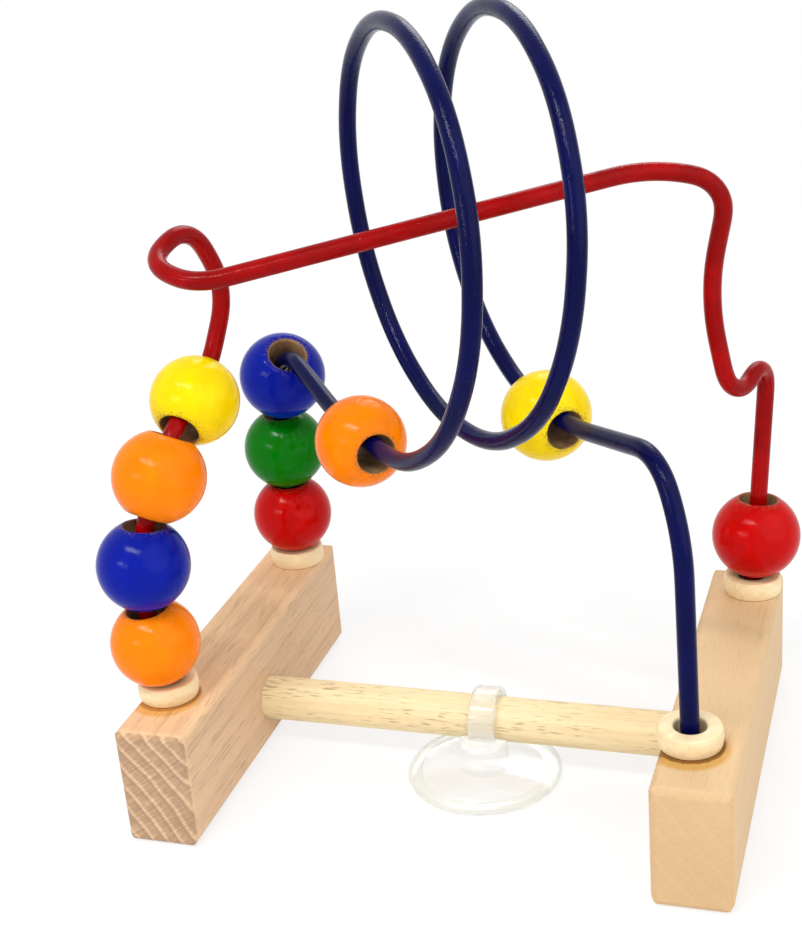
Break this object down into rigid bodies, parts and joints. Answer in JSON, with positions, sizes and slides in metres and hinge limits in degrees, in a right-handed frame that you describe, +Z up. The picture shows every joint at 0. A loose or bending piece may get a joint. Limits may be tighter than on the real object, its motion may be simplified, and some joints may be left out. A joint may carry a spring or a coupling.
{
  "type": "bead maze",
  "caption": "Baby's bead maze: wooden blocks joined by a dowel carry a red and a coiled blue wire with loose painted beads and a suction cup",
  "frame": {"origin": "on the floor, in the middle of the maze", "axes": "+Z up, +X from the left block to the right one along the dowel, +Y from front to back"},
  "size_m": [0.1397, 0.0973, 0.1672],
  "materials": {
    "block_wood": "sanded bare beech, end grain at the ends",
    "dowel_wood": "pale bare dowel with short flecks",
    "collar_wood": "pale turned collars",
    "red_coat": "glossy red plastic coat on steel wire",
    "blue_coat": "glossy navy plastic coat on steel wire",
    "paint_orange": "semi-gloss paint",
    "paint_blue": "semi-gloss paint",
    "paint_yellow": "semi-gloss paint",
    "paint_green": "semi-gloss paint",
    "paint_red": "semi-gloss paint",
    "clear_plastic": "clear soft plastic, a little milky"
  },
  "bodies": {
    "maze": {"left_block": "block_wood", "right_block": "block_wood", "cross_dowel": "dowel_wood", "red_wire": "red_coat", "blue_wire": "blue_coat", "collar_left_front": "collar_wood", "collar_left_back": "collar_wood", "collar_right_front": "collar_wood", "collar_right_back": "collar_wood"},
    "suction_cup": {"suction_cup": "clear_plastic"},
    "bead_orange_low": {"bead_orange_low": "paint_orange"},
    "bead_blue_front": {"bead_blue_front": "paint_blue"},
    "bead_orange_high": {"bead_orange_high": "paint_orange"},
    "bead_yellow_left": {"bead_yellow_left": "paint_yellow"},
    "bead_red_back": {"bead_red_back": "paint_red"},
    "bead_green_back": {"bead_green_back": "paint_green"},
    "bead_blue_back": {"bead_blue_back": "paint_blue"},
    "bead_orange_middle": {"bead_orange_middle": "paint_orange"},
    "bead_yellow_right": {"bead_yellow_right": "paint_yellow"},
    "bead_red_right": {"bead_red_right": "paint_red"}
  },
  "joints": [
    {"name": "cup_slide", "type": "slide", "parent": "maze", "child": "suction_cup", "axis": [1, 0, 0], "range_m": [-0.03, 0.022]},
    {"name": "orange_low_spin", "type": "hinge", "parent": "maze", "child": "bead_orange_low", "pos_m": [-0.0601, -0.03159, 0.04096], "axis": [-0.0666, -0.0757, 0.9949], "continuous": true},
    {"name": "blue_front_spin", "type": "hinge", "parent": "maze", "child": "bead_blue_front", "pos_m": [-0.06018, -0.0315, 0.05939], "axis": [0.0897, 0.1257, 0.988], "continuous": true},
    {"name": "orange_high_spin", "type": "hinge", "parent": "maze", "child": "bead_orange_high", "pos_m": [-0.05643, -0.02595, 0.07747], "axis": [0.2388, 0.4487, 0.8612], "continuous": true},
    {"name": "yellow_left_spin", "type": "hinge", "parent": "maze", "child": "bead_yellow_left", "pos_m": [-0.05332, -0.01097, 0.08901], "axis": [0.0931, 0.8831, 0.4598], "continuous": true},
    {"name": "red_back_spin", "type": "hinge", "parent": "maze", "child": "bead_red_back", "pos_m": [-0.05465, 0.0372, 0.04054], "axis": [0, 0, 1], "continuous": true},
    {"name": "green_back_spin", "type": "hinge", "parent": "maze", "child": "bead_green_back", "pos_m": [-0.05465, 0.0372, 0.05832], "axis": [0, 0, 1], "continuous": true},
    {"name": "blue_back_swing", "type": "hinge", "parent": "maze", "child": "bead_blue_back", "pos_m": [-0.04548, 0.02729, 0.07093], "axis": [0.7337, 0.6794, 0], "range_deg": [0, 70]},
    {"name": "orange_middle_slide", "type": "slide", "parent": "maze", "child": "bead_orange_middle", "axis": [0.6537, -0.7567, 0], "range_m": [-0.004, 0.007]},
    {"name": "yellow_right_slide", "type": "slide", "parent": "maze", "child": "bead_yellow_right", "axis": [0.6498, -0.7601, 0], "range_m": [0, 0.002]},
    {"name": "red_right_slide", "type": "slide", "parent": "maze", "child": "bead_red_right", "axis": [0.0502, 0.0748, 0.9959], "range_m": [0, 0.026]}
  ]
}
